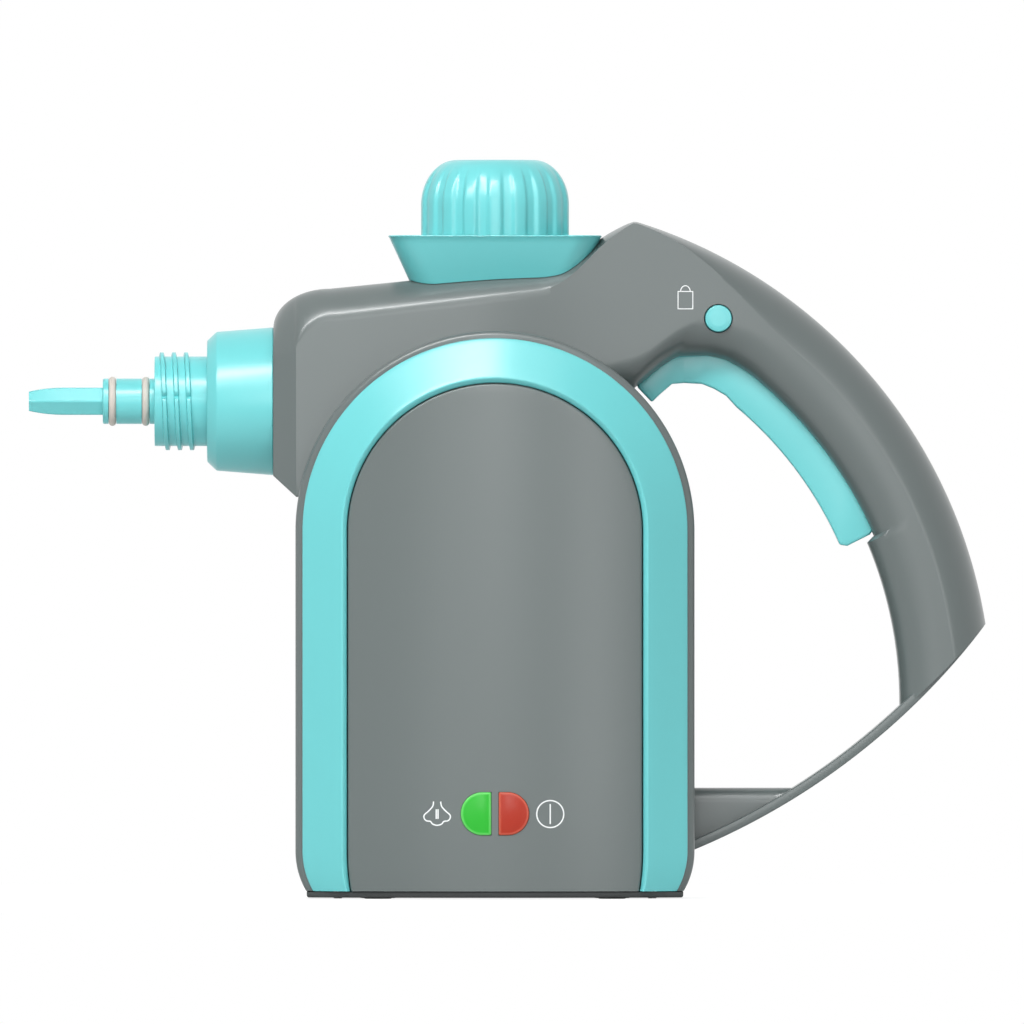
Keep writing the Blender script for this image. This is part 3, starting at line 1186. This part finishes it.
def printedSymbols():
    # Power ring and bar, steam cloud with two bars, open padlock
    s = symbols
    cx, cz = s["power"]
    turn = np.linspace(0, 2 * np.pi, 64, endpoint=False)
    ring = joined(cx + s["powerRadius"] * np.cos(turn), cz + s["powerRadius"] * np.sin(turn))
    bar = upright(cx, cz - s["powerBar"], cz + s["powerBar"])
    symbol("powerSymbol", [(ring, True), (bar, False)], panelDepth, s["stroke"])

    sx, sz = s["steam"]
    half = np.array(s["steamHalf"])
    outline = np.concatenate([half, (half * np.array([-1, 1]))[-2::-1]])
    cloud = smoothLine(outline, 8) + np.array([sx, sz])
    ends = sz - s["steamBar"], sz + s["steamBar"]
    bars = [upright(sx + side * s["steamBarHalf"], *ends) for side in (-1, 1)]
    symbol("steamSymbol", [(cloud, False)] + [(bar, False) for bar in bars], panelDepth, s["stroke"])

    centre = np.array(s["padlock"])
    w, h = s["padlockHalf"]
    case = np.array([(-w, -h), (w, -h), (w, h), (-w, h)])
    case = np.concatenate([np.linspace(a, b, 6)[:-1] for a, b in zip(case, np.roll(case, -1, axis=0))])
    turn = np.linspace(0, np.pi, 17)
    shackle = joined(s["shackle"][0] * np.cos(turn), h + s["shackle"][1] * np.sin(turn))
    symbol("padlockSymbol", [(case + centre, True), (shackle + centre, False)], sideHalf, s["fineStroke"])


def smoothLine(points, steps):
    # Catmull-Rom curve through the points
    p = np.concatenate([points[:1], points, points[-1:]])
    t = np.linspace(0, 1, steps, endpoint=False)[:, None]
    parts = []
    for a, b, c, d in zip(p, p[1:], p[2:], p[3:]):
        square, cube = 2 * a - 5 * b + 4 * c - d, 3 * b - a - 3 * c + d
        parts.append(0.5 * (2 * b + (c - a) * t + square * t ** 2 + cube * t ** 3))
    return np.concatenate(parts + [points[-1:]])


# Carried-over pieces of the frame

def dressCarried():
    # Pieces that are not drawn again above get the look of their slot
    slots = {s["node"]: s["material_slot"] for s in frame["record"]["subparts"]}
    for name, thing in frame["nodes"].items():
        look = looks.get(slots[name])
        if look and not thing.hide_render:
            thing.data.materials.clear()
            thing.data.materials.append(look)


housings()
archTrims()
basePlate()
feet()
nozzleGroup()
fillingTray()
safetyCap()
triggerBlade()
lockButton()
lamps()
printedSymbols()
dressCarried()
print("pieces made")


# Studio: pale floor, soft lights, long lens

studio = {
    "lens": 1500.0, "sensor": 36.0, "frameWidth": 0.32, "aimX": 0.0053, "aimZ": 0.1206, "clip": (0.1, 100.0),
    "ambient": 0.16, "floor": (0.78, 0.79, 0.79), "floorHalf": (0.6, 0.45), "floorDeep": 0.0005,
    "floorGloss": 0.6, "floorWhite": 0.62, "floorGlow": 1.35, "middle": (0.0, 0.0, 0.15),
    # name, first end, last end, width, watts, whether its reflection shows
    "softboxes": (("shoulderBar", (-0.50, -0.45, 0.475), (0.02, -0.45, 0.746), 0.12, 3.3, True),
                  ("frontTop", (-0.8, -1.2, 1.1), (0.8, -1.2, 1.1), 0.8, 10.0, True),
                  ("middleStrip", (0.01, -1.5, 0.12), (0.01, -1.5, 0.62), 0.26, 1.7, True),
                  ("leftStrip", (-0.286, -1.5, -0.1), (-0.286, -1.5, 0.6), 0.10, 0.5, True),
                  ("rightStrip", (0.53, -1.42, -0.1), (0.53, -1.42, 0.6), 0.20, 1.3, True),
                  ("backTop", (-0.8, 1.3, 1.0), (0.8, 1.3, 1.0), 0.9, 12.0, False),
                  ("rightSide", (1.3, 0.1, 0.3), (1.3, 0.9, 0.3), 0.8, 5.0, False)),
}


def softbox(name, first, last, width, watts, mirrored):
    # Rectangle from its first end to its last, turned about that line to face the middle of the piece
    first, last = Vector(first), Vector(last)
    across = (last - first).normalized()
    back = (first + last) / 2 - Vector(studio["middle"])
    back = (back - across * back.dot(across)).normalized()
    data = bpy.data.lights.new(name, "AREA")
    data.shape = "RECTANGLE"
    data.size, data.size_y = (last - first).length, width
    data.energy = watts
    made = placed(name, data)
    made.location = (first + last) / 2
    made.rotation_euler = Matrix((across, back.cross(across), back)).transposed().to_euler()
    made.visible_camera = False
    made.visible_glossy = mirrored


def backdrop():
    # White where it is seen, directly, mirrored or through a lens; dimmer where it lights the pieces
    world = bpy.data.worlds.new("studio")
    world.use_nodes = True
    world.node_tree.nodes.clear()
    root = Sock(world.node_tree)
    direct, mirrored, through = (root.add("ShaderNodeLightPath", output=kind) for kind in
                                 ("Is Camera Ray", "Is Glossy Ray", "Is Transmission Ray"))
    seen = direct.math("MINIMUM", direct + mirrored + through, 1.0)
    strength = seen * (1.0 - studio["ambient"]) + studio["ambient"]
    back = root.add("ShaderNodeBackground", None, {"Color": (1, 1, 1, 1), "Strength": strength})
    feed(world.node_tree.nodes.new("ShaderNodeOutputWorld"), 0, back)
    scene.world = world


def floorPlane():
    wide, deep = studio["floorHalf"]
    made = block("floor", (-wide, -deep, -studio["floorDeep"]), (wide, deep, 0))
    look, root, shader = newMaterial("paleFloor")
    feed(shader, "Base Color", (*studio["floor"], 1))
    feed(shader, "Roughness", studio["floorGloss"])
    glow = root.add("ShaderNodeEmission", None, {"Color": (1, 1, 1, 1), "Strength": studio["floorGlow"]})
    seen = root.add("ShaderNodeLightPath", output="Is Camera Ray")
    lit = Sock(root.tree, shader.outputs[0])
    mix = root.add("ShaderNodeMixShader", None, {0: seen * studio["floorWhite"], 1: lit, 2: glow})
    feed(root.tree.nodes["Material Output"], 0, mix)
    made.data.materials.append(look)


def camera():
    data = bpy.data.cameras.new("camera")
    data.lens = studio["lens"]
    data.sensor_width = studio["sensor"]
    data.clip_start, data.clip_end = studio["clip"]
    made = placed("camera", data)
    distance = studio["lens"] / studio["sensor"] * studio["frameWidth"]
    made.location = (studio["aimX"] + centreX, -distance, studio["aimZ"])
    made.rotation_euler = (math.pi / 2, 0, 0)
    scene.camera = made


backdrop()
floorPlane()
for settings in studio["softboxes"]:
    softbox(*settings)
camera()
scene.view_settings.view_transform = "Standard"
print("studio made")
